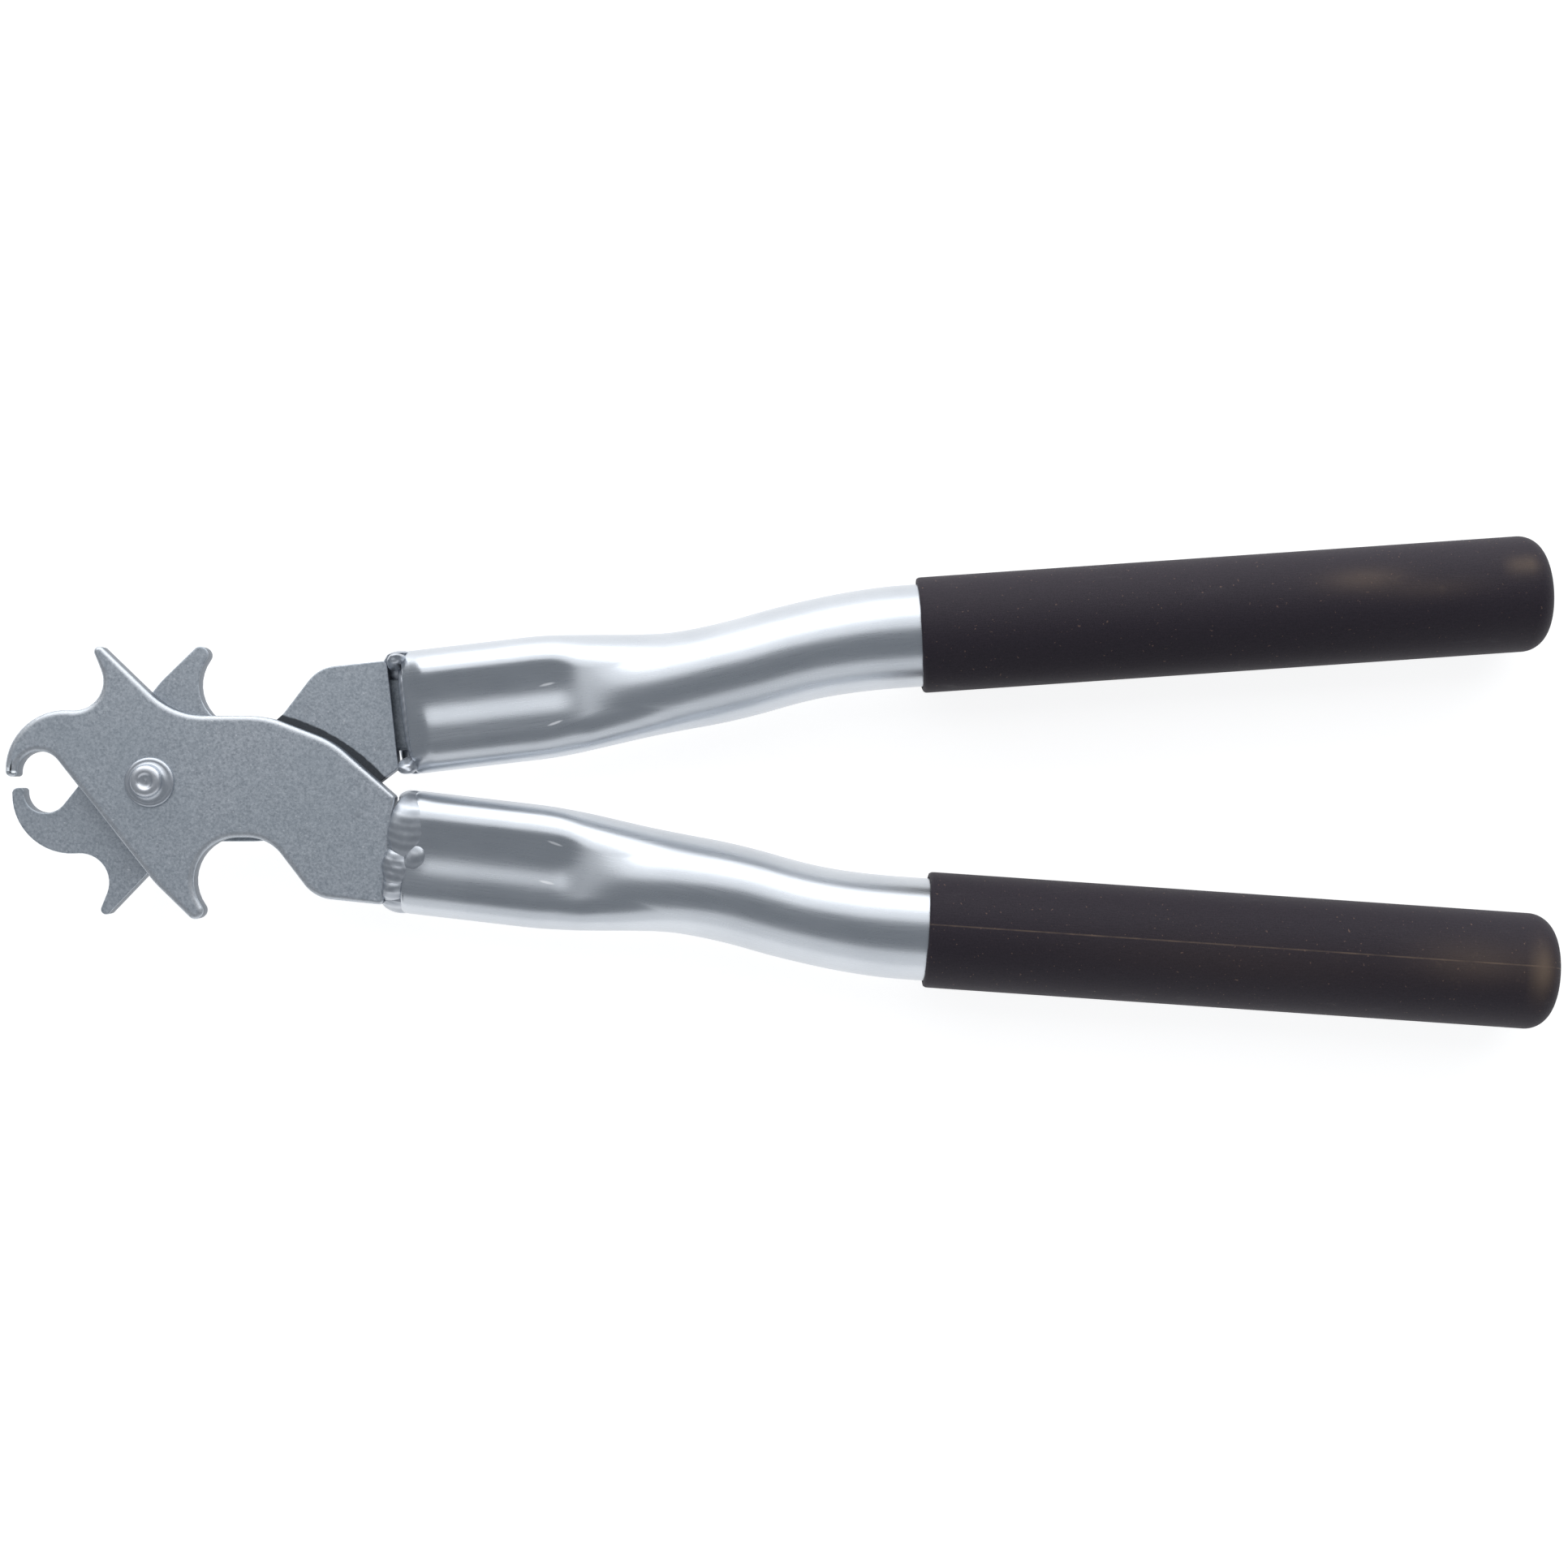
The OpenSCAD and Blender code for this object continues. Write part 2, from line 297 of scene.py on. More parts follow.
def streak_group():
    """Fine lines that run along a piece: noise stretched many times along the first direction."""
    group, given, out = new_group(
        "long_streaks", {"Vector": (0.0, 0.0, 0.0), "Fine": 40.0, "Broad": 8.0},
        ["Fine lines", "Broad lines", "Height"])
    w = Wiring(group)
    thin = w.stretched(given.outputs["Vector"], (1.0, 22.0, 1.0))
    fine = w.noise(thin, given.outputs["Fine"], 4.0, 0.6)
    broad = w.noise(thin, given.outputs["Broad"], 2.0, 0.5)
    w.put(out.inputs["Fine lines"], w.spread(fine, 0.35, 0.65))
    w.put(out.inputs["Broad lines"], w.spread(broad, 0.35, 0.65))
    w.put(out.inputs["Height"], fine)
    return group


def handling_group():
    """Marks of use: thin soft scuffs and small dark dirt spots, as two masks."""
    group, given, out = new_group(
        "handling_marks", {"Vector": (0.0, 0.0, 0.0), "Amount": 0.5}, ["Scuffs", "Dirt"])
    w = Wiring(group)
    lengthwise = w.stretched(given.outputs["Vector"], (140.0, 900.0, 300.0))
    scuff = w.noise(lengthwise, 1.0, 3.0, 0.6)
    dirt = w.noise(given.outputs["Vector"], 260.0, 4.0, 0.7)
    w.put(out.inputs["Scuffs"],
          w.math("MULTIPLY", w.spread(scuff, 0.62, 0.75), given.outputs["Amount"]))
    w.put(out.inputs["Dirt"],
          w.math("MULTIPLY", w.spread(dirt, 0.60, 0.78), given.outputs["Amount"]))
    return group


GRAIN = plated_grain_group()
STREAKS = streak_group()
HANDLING = handling_group()


def new_material(name):
    """Material with a Principled shader; gives the material, its wiring and the shader."""
    material = bpy.data.materials.new(name)
    material.use_nodes = True
    wiring = Wiring(material.node_tree)
    shader = material.node_tree.nodes["Principled BSDF"]
    return material, wiring, shader


def bumped(w, shader, height, strength, distance):
    """Joins a height to the shader's normal."""
    bump = w.tree.nodes.new("ShaderNodeBump")
    bump.inputs["Strength"].default_value = strength
    bump.inputs["Distance"].default_value = distance
    w.put(bump.inputs["Height"], height)
    w.put(shader.inputs["Normal"], bump.outputs["Normal"])


def coordinates(w, output="Object"):
    """Places on the piece: in its own space, or on its own map."""
    return w.tree.nodes.new("ShaderNodeTexCoord").outputs[output]


def attribute(w, name):
    """A number carried by the piece's points."""
    made = w.tree.nodes.new("ShaderNodeAttribute")
    made.attribute_name = name
    return made.outputs["Fac"]


def painted_shadow_line(w, place):
    """Mask of the painted shadow on the rear plate along the front plate's edge.

    The edge is close to an arc: the mask is 1 where the distance from the arc's centre, made
    ragged by noise, is within SHADOW_LINE_FULL of its radius, and it fades in along X.
    """
    split = w.node("ShaderNodeSeparateXYZ", Vector=place).outputs
    east = w.math("SUBTRACT", split["X"], PIVOT[0] + SHADOW_LINE_X * MM)
    north = w.math("SUBTRACT", split["Y"], PIVOT[1] - SHADOW_LINE_Y * MM)
    squares = w.math("ADD", w.math("MULTIPLY", east, east), w.math("MULTIPLY", north, north))
    ragged = w.math("MULTIPLY", w.noise(place, 900.0, 3.0), SHADOW_LINE_RAGGED * MM)
    reach = w.math("ADD", w.math("SQRT", squares), ragged)
    aside = w.math("ABSOLUTE", w.math("SUBTRACT", reach, SHADOW_LINE_RADIUS * MM))
    begun = w.spread(split["X"], PIVOT[0] + SHADOW_LINE_START * MM, PIVOT[0] + SHADOW_LINE_WHOLE * MM)
    near = w.spread(aside, SHADOW_LINE_FULL * MM, SHADOW_LINE_GONE * MM, 1.0, 0.0)
    line = w.math("MULTIPLY", near, begun)
    return w.math("MULTIPLY", line, attribute(w, "rear"))


def plate_steel():
    """Matt grey plating over a blasted stamping, brighter where the rolled edge is rubbed."""
    material, w, shader = new_material("plate_steel")
    place = coordinates(w)
    grain = w.group(GRAIN, Vector=place, Grain_scale=2100.0, Speck_scale=1300.0)
    marks = w.group(HANDLING, Vector=place, Amount=0.35)
    tone = w.mix(grain["Grain"], (0.36, 0.40, 0.45, 1), (0.66, 0.70, 0.75, 1))
    tone = w.mix(w.math("MULTIPLY", grain["Cloud"], 0.35), tone, (0.42, 0.48, 0.53, 1))
    tone = w.mix(w.math("MULTIPLY", grain["Specks"], 0.5), tone, (0.78, 0.80, 0.83, 1))
    tone = w.mix(marks["Dirt"], tone, (0.33, 0.35, 0.38, 1))
    rubbed = attribute(w, "rubbed")
    tone = w.mix(w.math("MULTIPLY", rubbed, 0.55), tone, (0.72, 0.74, 0.77, 1))
    # Sheared wall darkened: partly its dull shear zone, partly painted shade of the gap beneath the
    # plate's edge.
    tone = w.mix(w.math("MULTIPLY", attribute(w, "sheared_and_shaded"), 0.90), tone, (0.17, 0.19, 0.22, 1))
    # Painted shadow: a near-black ragged arc on the rear plate, where the front plate's edge shades
    # it.
    painted_shadow = painted_shadow_line(w, place)
    tone = w.mix(w.math("MULTIPLY", painted_shadow, 0.88), tone, (0.035, 0.040, 0.048, 1))
    w.put(shader.inputs["Base Color"], tone)
    shader.inputs["Metallic"].default_value = 0.85
    rough = w.spread(grain["Grain"], 0.0, 1.0, 0.44, 0.56)
    rough = w.math("SUBTRACT", rough, w.math("MULTIPLY", rubbed, 0.12))
    w.put(shader.inputs["Roughness"], w.math("ADD", rough, w.math("MULTIPLY", painted_shadow, 0.2)))
    bumped(w, shader, grain["Height"], 0.35, 0.00006)
    return material


def press_marks(w, place):
    """Mask of the small marks that the press left where the flats end: two slanted ellipses."""
    split = w.node("ShaderNodeSeparateXYZ", Vector=place).outputs
    total = 0.0
    for at, around in PRESS_MARKS:
        east = w.math("DIVIDE", w.math("SUBTRACT", split["X"], at), PRESS_HALF_LONG)
        side = w.math("DIVIDE", w.math("SUBTRACT", split["Y"], around), PRESS_HALF_WIDE)
        side = w.math("ADD", side, w.math("MULTIPLY", east, 0.8))
        squares = w.math("ADD", w.math("MULTIPLY", east, east), w.math("MULTIPLY", side, side))
        total = w.math("ADD", w.spread(squares, 0.4, 1.3, 1.0, 0.0), total)
    return total


def tube_steel():
    """Bright zinc on drawn tube: fine lines along it, cloudy plating, faint dirt."""
    material, w, shader = new_material("tube_steel")
    drawn = coordinates(w, "UV")
    lines = w.group(STREAKS, Vector=drawn, Fine=30.0, Broad=7.0)
    place = coordinates(w)
    grain = w.group(GRAIN, Vector=place, Grain_scale=1900.0, Speck_scale=800.0)
    marks = w.group(HANDLING, Vector=place, Amount=0.12)
    tone = w.mix(grain["Cloud"], (0.58, 0.61, 0.65, 1), (0.65, 0.68, 0.72, 1))
    tone = w.mix(w.math("MULTIPLY", lines["Fine lines"], 0.22), tone, (0.52, 0.56, 0.61, 1))
    tone = w.mix(marks["Dirt"], tone, (0.42, 0.44, 0.48, 1))
    pressed = press_marks(w, drawn)
    tone = w.mix(w.math("MULTIPLY", pressed, 0.75), tone, (0.92, 0.93, 0.95, 1))
    w.put(shader.inputs["Base Color"], tone)
    shader.inputs["Metallic"].default_value = 1.0
    rough = w.spread(lines["Broad lines"], 0.0, 1.0, 0.27, 0.33)
    rough = w.math("ADD", rough, w.math("MULTIPLY", marks["Scuffs"], 0.2))
    w.put(shader.inputs["Roughness"], w.math("ADD", rough, w.math("MULTIPLY", pressed, 0.25)))
    height = w.math("ADD", lines["Height"], w.math("MULTIPLY", grain["Height"], 0.6))
    bumped(w, shader, height, 0.05, 0.00002)
    return material


def weld_metal():
    """Plated weld metal: painted highlight on the crests, painted shade in the hollows, fine crust.
    """
    material, w, shader = new_material("weld_metal")
    place = coordinates(w)
    grain = w.group(GRAIN, Vector=place, Grain_scale=1500.0, Speck_scale=1100.0)
    painted_relief_light = attribute(w, "painted_relief_light")
    # Painted light: the crests are painted lighter as highlight and the hollows darker as shade.
    tone = w.mix(painted_relief_light, (0.36, 0.39, 0.43, 1), (0.66, 0.69, 0.73, 1))
    tone = w.mix(w.math("MULTIPLY", grain["Cloud"], 0.4), tone, (0.50, 0.52, 0.57, 1))
    w.put(shader.inputs["Base Color"], tone)
    shader.inputs["Metallic"].default_value = 0.95
    w.put(shader.inputs["Roughness"], w.spread(grain["Grain"], 0.0, 1.0, 0.34, 0.46))
    bumped(w, shader, grain["Height"], 0.15, 0.00003)
    return material


def rivet_steel():
    """Bright formed rivet head: painted highlight on the boss's rim, painted shade at its foot,
    plating grain.
    """
    material, w, shader = new_material("rivet_steel")
    place = coordinates(w)
    grain = w.group(GRAIN, Vector=place, Grain_scale=2000.0, Speck_scale=1200.0)
    painted_relief_light = attribute(w, "painted_relief_light")
    # Painted light: lighter on the boss's rim as highlight, darker at its foot as shade.
    tone = w.mix(painted_relief_light, (0.48, 0.52, 0.57, 1), (0.74, 0.76, 0.80, 1))
    tone = w.mix(w.math("MULTIPLY", grain["Cloud"], 0.3), tone, (0.55, 0.58, 0.63, 1))
    w.put(shader.inputs["Base Color"], tone)
    shader.inputs["Metallic"].default_value = 0.97
    w.put(shader.inputs["Roughness"], w.spread(grain["Grain"], 0.0, 1.0, 0.32, 0.42))
    bumped(w, shader, grain["Height"], 0.20, 0.00003)
    return material


def parting_line(w):
    """Mask of the hair-thin mould line along the sleeve, broken by noise."""
    place = coordinates(w, "UV")
    split = w.node("ShaderNodeSeparateXYZ", Vector=place).outputs
    aside = w.math("ABSOLUTE", w.math("SUBTRACT", split["Y"], MOULD_LINE_AT))
    line = w.spread(aside, 0.0010, 0.0028, 0.62, 0.0)
    return w.math("MULTIPLY", line, w.spread(w.noise(place, 9.0, 4.0), 0.30, 0.62))


def grip_sleeve():
    """Dull dark sleeve: faint lines along it, tiny pale lint, tan rubbed places near the end."""
    material, w, shader = new_material("grip_sleeve")
    lines = w.group(STREAKS, Vector=coordinates(w, "UV"), Fine=18.0, Broad=4.0)
    place = coordinates(w)
    grain = w.group(GRAIN, Vector=place, Grain_scale=3000.0, Speck_scale=1700.0)
    marks = w.group(HANDLING, Vector=place, Amount=0.8)
    tone = w.mix(grain["Grain"], (0.016, 0.0125, 0.0195, 1), (0.029, 0.023, 0.033, 1))
    tone = w.mix(w.math("MULTIPLY", lines["Fine lines"], 0.45), tone, (0.034, 0.025, 0.035, 1))
    tone = w.mix(w.math("MULTIPLY", grain["Specks"], 0.55), tone, (0.19, 0.120, 0.095, 1))
    patchy = w.math("MULTIPLY", attribute(w, "rubbed"), w.spread(marks["Dirt"], 0.0, 0.5, 0.55, 1.0))
    tone = w.mix(patchy, tone, (0.21, 0.150, 0.105, 1))
    tone = w.mix(parting_line(w), tone, (0.19, 0.135, 0.100, 1))
    w.put(shader.inputs["Base Color"], tone)
    shader.inputs["Specular IOR Level"].default_value = 0.28
    w.put(shader.inputs["Roughness"],
          w.math("SUBTRACT", 0.66, w.math("MULTIPLY", marks["Scuffs"], 0.12)))
    height = w.math("ADD", lines["Height"], w.math("MULTIPLY", grain["Height"], 0.5))
    bumped(w, shader, height, 0.30, 0.00010)
    return material


def floor_paper():
    """Plain white paper with a trace of mottle, lit a little from within to soften shadows."""
    material, w, shader = new_material("floor_paper")
    place = coordinates(w)
    mottle = w.noise(place, 40.0, 2.0, 0.5)
    w.put(shader.inputs["Base Color"], w.mix(mottle, (0.40, 0.40, 0.40, 1), (0.43, 0.43, 0.43, 1)))
    shader.inputs["Roughness"].default_value = 0.9
    shader.inputs["Emission Color"].default_value = (1, 1, 1, 1)
    shader.inputs["Emission Strength"].default_value = 0.84
    return material


# ---- Plates ----

def blank_corners(waist):
    """Corners of the stamped blank as x, y and rounding radius, anticlockwise from the beak."""
    return np.array([
        [-28.1, 1.1, 1.1], [-25.85, 1.1, 0.7], [-25.9, 5.97, 4.1], [-19.3, 5.97, 4.4],
        [1.0, -19.7, 20.0], [8.6, -27.1, 1.55], [10.85, -25.2, 1.55],
        [0.5, -10.7, 8.4], [22.9, -10.7, 8.4], [31.8, -22.4, 7.5],
        [45.2, -23.8, 0.9], [47.5, -2.8, 0.9], [35.3, waist - 5.0, 19.0],
        [22.3, waist, 19.0], [4.4, waist, 15.0],
        [-12.6, 29.3, 1.0], [-6.2, 13.4, 5.7], [-28.3, 14.7, 11.6],
    ])


def outline(corners, steps=14):
    """Points, outward normals and free corner radius of an outline with rounded corners.

    Each corner becomes an arc that touches both of its sides: the arc's centre lies on the
    corner's bisector, and its points go from the first touching point to the second.
    """
    at, r = corners[:, :2], corners[:, 2]
    back = np.roll(at, 1, 0) - at
    on = np.roll(at, -1, 0) - at
    back /= np.linalg.norm(back, axis=1)[:, None]
    on /= np.linalg.norm(on, axis=1)[:, None]
    turn = np.pi - np.arccos(np.sum(back * on, 1))
    side = -np.sign(back[:, 0] * on[:, 1] - back[:, 1] * on[:, 0])
    start = at + (r * np.tan(turn / 2))[:, None] * back
    bisector = (back + on) / np.linalg.norm(back + on, axis=1)[:, None]
    centre = at + (r / np.cos(turn / 2))[:, None] * bisector
    first = np.arctan2(start[:, 1] - centre[:, 1], start[:, 0] - centre[:, 0])
    angle = first[:, None] + (side * turn)[:, None] * np.linspace(0, 1, steps)
    spoke = np.stack([np.cos(angle), np.sin(angle)], 2)
    points = centre[:, None] + r[:, None, None] * spoke
    unlimited = 99.0
    room = np.where(side > 0, r, unlimited)
    return (points.reshape(-1, 2), (side[:, None, None] * spoke).reshape(-1, 2),
            np.repeat(room, steps))


def quarter_round(reach, height, steps):
    """(inset, height) pairs of a quarter ellipse, from the wall (inset 0) to the face."""
    t = np.linspace(0, np.pi / 2, steps)
    return np.stack([reach * (1 - np.cos(t)), height * np.sin(t)], 1)


def tang_points():
    """Tongue that enters the tube: a slab with round edges, rings carried along its length.

    A ring is a superellipse |y/a|^8 + |z/b|^8 = 1, and it shrinks to nothing at each end.
    """
    middle_z, half_w, half_t = 2.55, 7.0, 1.45
    turn = np.linspace(0, 2 * np.pi, TANG_STEPS, endpoint=False)
    cos, sin = np.cos(turn), np.sin(turn)
    power = 8
    size = (np.abs(cos) ** power + np.abs(sin) ** power) ** (-1 / power)
    stations = np.array([-6.0, -6.0, 7.4, 7.85, 8.0, 8.0])
    shrink = np.array([0.0, 1.0, 1.0, 0.97, 0.90, 0.0])
    along = np.array([math.cos(FLAT_SLOPE), -math.sin(FLAT_SLOPE)])
    across = np.array([math.sin(FLAT_SLOPE), math.cos(FLAT_SLOPE)])
    flat = (MOUTH + stations[:, None, None] * along
            + (shrink[:, None] * half_w * size * cos)[..., None] * across)
    z = middle_z + shrink[:, None] * half_t * size * sin
    rings = np.concatenate([flat, z[..., None]], 2)
    return rings[1:-1], rings[0, 0], rings[-1, 0]


def make_plate(name, waist, upper):
    """Stamped plate: the outline's wall with both edges rolled over, two faces, a rivet hole.

    A point of the wall is outline - inset * outward normal; inset and height follow a quarter
    ellipse at each face, a large one where the die drew the edge down and a small one behind.
    """
    at, normal, room = outline(blank_corners(waist))
    rolled = quarter_round(ROLL_REACH, ROLL_DROP, 9)
    broken = quarter_round(BACK_EDGE, BACK_EDGE, 4)
    profile = np.concatenate([
        [[BACK_LAND, GAP_Z]],
        np.stack([broken[::-1, 0], GAP_Z + BACK_EDGE - broken[::-1, 1]], 1),
        np.stack([rolled[:, 0], FACE_Z - ROLL_DROP + rolled[:, 1]], 1),
        [[ROLL_REACH + FACE_LAND, FACE_Z]],
    ])
    limit = np.minimum(1.0, CORNER_SHARE * room / profile[-1, 0])
    inset = profile[:, 0][:, None] * limit
    rings = np.concatenate([
        at - inset[..., None] * normal,
        np.broadcast_to(profile[:, 1][:, None, None], inset.shape + (1,)),
    ], 2)
    rows, cols = rings.shape[:2]
    hole, circle = np.array(HOLE_PROFILE), HOLE_STEPS
    holes, _ = turned(hole, circle)
    points = np.concatenate([rings.reshape(-1, 3), holes.reshape(-1, 3)])
    hole_start = rows * cols
    faces = [grid_quads(rows, cols)[:, ::-1],
             grid_quads(len(hole), circle, start=hole_start)]
    for ring, hole_row, flip in ((0, 0, True), (rows - 1, len(hole) - 1, False)):
        edge = [Vector(p) for p in rings[ring].tolist()]
        bore = [Vector(p) for p in holes[hole_row].tolist()]
        number = np.concatenate([ring * cols + np.arange(cols),
                                 hole_start + hole_row * circle + np.arange(circle)])
        triangles = number[np.array(tessellate_polygon([edge, bore]))]
        ups = np.cross(points[triangles[:, 1]] - points[triangles[:, 0]],
                       points[triangles[:, 2]] - points[triangles[:, 0]])[:, 2]
        faces.append(triangles[:, ::-1] if (ups.sum() > 0) == flip else triangles)
    tang, tang_in, tang_out = tang_points()
    tang_start = len(points)
    tang_rows, tang_cols = tang.shape[:2]
    points = np.concatenate([points, tang.reshape(-1, 3), [tang_in, tang_out]])
    last = tang_start + tang_rows * tang_cols
    ring = np.arange(tang_cols)
    faces += [grid_quads(tang_rows, tang_cols, start=tang_start)[:, ::-1],
              fan(tang_start + ring, last)[:, ::-1],
              fan(last - tang_cols + ring, last + 1)]
    rubbed = np.zeros(len(points))
    rubbed[:rows * cols] = np.repeat(
        np.clip(np.sin(np.pi * profile[:, 0] / ROLL_REACH) * (profile[:, 1] > FACE_Z / 2), 0, 1),
        cols)
    # Wall below the rolled edge: its shear zone, which the material also darkens as painted shade.
    sheared_and_shaded = np.zeros(len(points))
    height = rings[..., 2].ravel()
    wall = np.repeat(profile[:, 0] < 0.01, cols)
    sheared_and_shaded[:rows * cols] = wall & (height < FACE_Z - ROLL_DROP + 0.01)
    marks = {"rubbed": rubbed, "sheared_and_shaded": sheared_and_shaded, "rear": np.full(len(points), float(upper))}
    return piece(name, points, faces, upper, marks=marks)


# ---- Tubes ----

def centreline(s):
    """Point and heading of the tube's middle line at distance s from the mouth.

    It runs straight, bends outwards on one arc, bends back on another, and runs straight.
    """
    out = np.clip((s - FIRST_STRAIGHT) / BEND_OUT_R, 0, BEND_SLOPE - FLAT_SLOPE)
    back = np.clip((s - BEND_OUT_END) / BEND_BACK_R, 0, BEND_SLOPE - GRIP_SLOPE)
    heading = -FLAT_SLOPE - out + back
    straight = np.minimum(s, FIRST_STRAIGHT)[..., None]
    tail = np.maximum(s - BEND_BACK_END, 0)[..., None]

    def way(angle):
        return np.stack([np.cos(angle), np.sin(angle)], -1)

    def left(angle):
        return np.stack([-np.sin(angle), np.cos(angle)], -1)

    point = (MOUTH + straight * way(np.array(-FLAT_SLOPE))
             + BEND_OUT_R * (left(-FLAT_SLOPE - out) - left(np.array(-FLAT_SLOPE)))
             - BEND_BACK_R * (left(-BEND_SLOPE + back) - left(np.array(-BEND_SLOPE)))
             + tail * way(np.array(-GRIP_SLOPE)))
    return point, heading


def half_width(s):
    """Half the tube's width at s: eased from the flat's to the bend's, then to the round part's."""
    tapered = smooth((s - FLAT_LEN) / TAPER_LEN)
    swollen = smooth((s - SWELL_START) / (BEND_BACK_END - SWELL_START))
    return (FLAT_W + (BEND_W - FLAT_W) * tapered + (TUBE_D - BEND_W) * swollen) / 2


def half_thickness(s):
    """Half its thickness at s: eased from the flat's to the squeezed bend's, then to the round's.

    The skin keeps its length, so the bend is as much thicker than the tube as it is narrower.
    """
    risen = smooth((s - RISE_START) / RISE_LEN)
    swollen = smooth((s - SWELL_START) / (BEND_BACK_END - SWELL_START))
    squeezed = 2 * TUBE_D - BEND_W
    return (FLAT_T + (squeezed - FLAT_T) * risen + (TUBE_D - squeezed) * swollen) / 2


def section(s, count, inset):
    """Tube section at s as (across, up), one point per column of a ring of count points.

    It is a blend of an ellipse and of a rectangle with round ends, by how flat the tube is.
    Each flat has sunk by dish * cos^2 of the place across it, off its middle, from just behind
    the mouth to where the press stopped. Past the press the section leans over by twist *
    across, and both sides, the inner one most, are closed down at the mouth.
    """
    a = half_width(s) - inset
    b = half_thickness(s) - inset
    column = (np.arange(count) + 0.5) / count * RING_PARTS
    turn = column / RING_PARTS * 2 * np.pi
    end_turn = np.radians(np.interp(column, RING_KNOTS, KNOT_TURNS))
    place = np.interp(column, RING_KNOTS, KNOT_SIDES)
    flatness = smooth((a - b) / FULLY_FLAT)
    across = (flatness * ((a - b) * place + b * np.cos(end_turn))
              + (1 - flatness) * a * np.cos(turn))
    up = b * (flatness * np.sin(end_turn) + (1 - flatness) * np.sin(turn))
    aside = np.where(up > 0, DISH_ASIDE_ABOVE, DISH_ASIDE_BELOW)
    spot = np.clip((across - aside) / DISH_HALF, -1, 1)
    dish = DISH_DEPTH * smooth(s / DISH_RUN) * smooth((DISH_END - s) / DISH_RUN)
    up = up - dish * np.cos(spot * np.pi / 2) ** 2 * up / b
    leaning = smooth((s - TWIST_START) / TWIST_RISE)
    up = up - TWIST * across * leaning * smooth((TWIST_END - s) / TWIST_FADE)
    pinch = np.where(up < 0, CLOSED_BELOW, CLOSED_ABOVE) * (1 - smooth(s / CLOSED_RUN))
    return across, up * (1 - pinch / (FLAT_T / 2))


def make_tube(name, upper):
    """Drawn tube, pressed flat at the plate: sections carried along the middle line.

    The outer skin turns over a round rim into the inner skin, and a plain ring closes the wall
    between them inside the grip.
    """
    outer_s = np.concatenate([np.linspace(1.5, 8, 10), np.linspace(9, 62, 60),
                              np.linspace(64, GRIP_START + TUBE_HIDDEN, 60)])
    rim = np.linspace(np.pi / 2, -np.pi / 2, 11)[1:-1]
    half_wall = TUBE_WALL / 2
    rim_s = half_wall - half_wall * np.cos(rim)
    rim_inset = half_wall - half_wall * np.sin(rim)
    s = np.concatenate([outer_s[::-1], rim_s * RIM_STRETCH, outer_s])
    inset = np.concatenate([np.zeros(len(outer_s)), rim_inset, np.full(len(outer_s), TUBE_WALL)])
    across, up = section(s[:, None], TUBE_STEPS, inset[:, None])
    point, heading = centreline(s)
    side = np.stack([-np.sin(heading), np.cos(heading)], -1)
    flat = point[:, None] + across[..., None] * side[:, None]
    rings = np.concatenate([flat, up[..., None]], 2)
    rows, cols = rings.shape[:2]
    around = np.abs(np.arange(cols) / cols - 0.5) * 2
    uv = np.stack(np.broadcast_arrays(s[:, None] * MAP_PER_MM, around[None, :]), 2)
    faces = [grid_quads(rows, cols)]
    ring = np.arange(cols)
    onward = np.roll(ring, -1)
    last = (rows - 1) * cols
    faces.append(np.stack([ring, onward, last + onward, last + ring], 1))
    return piece(name, rings.reshape(-1, 3), faces, upper, uv=uv.reshape(-1, 2))


# ---- Welds ----

def bead(middle, along_half, wide, tall, seed, sway=0.25, laps=5, ripple=0.020):
    """Lap of weld metal lying across the joint: a closed, rippled, lumpy spindle.

    The radius at angle t from tip to tip is |sin t|^0.8 times one plus crescent ripples, which
    are the square of a raised cosine along the run and lag at the sides, plus seeded waves.
    Its middle line falls away with the tube's round end: z = sqrt(r^2 - past^2) - r.
    """
    t = np.linspace(0, np.pi, BEAD_ROWS)[:, None]
    turn = np.linspace(0, 2 * np.pi, BEAD_STEPS, endpoint=False)[None, :]
    run = (1 - np.cos(t)) / 2
    crescent = (0.5 + 0.5 * np.cos(2 * np.pi * (run * laps + 0.45 * np.cos(turn) ** 2))) ** 2
    phases = np.random.default_rng(seed).uniform(0, 2 * np.pi, 6)
    lumps = (0.05 * np.cos(2 * turn + 2.1 * run + phases[0])
             + 0.03 * np.cos(3 * turn - 3.0 * run * np.pi + phases[1])
             + 0.008 * np.cos(6 * turn + 7.0 * run * np.pi + phases[2]))
    radius = np.sin(t) ** 0.8 * (1 + ripple * crescent + lumps * np.sin(t))
    x = middle[0] + wide * radius * np.cos(turn) + sway * np.sin(4.5 * run + phases[3])
    y = middle[1] + along_half * np.cos(t)
    past = np.clip(np.abs(y) - (FLAT_W - FLAT_T) / 2, 0, 0.94 * FLAT_T / 2)
    falling = np.sqrt((FLAT_T / 2) ** 2 - past ** 2) - FLAT_T / 2
    z = middle[2] + np.sign(middle[2]) * falling + tall * radius * np.sin(turn)
    # Painted light on the ripples: lighter on the crests as highlight, darker in the hollows as
    # shade.
    painted_relief_light = np.clip(0.30 + 0.55 * crescent + 2.0 * lumps, 0, 1)
    return np.stack(np.broadcast_arrays(x, y, z), 2), painted_relief_light


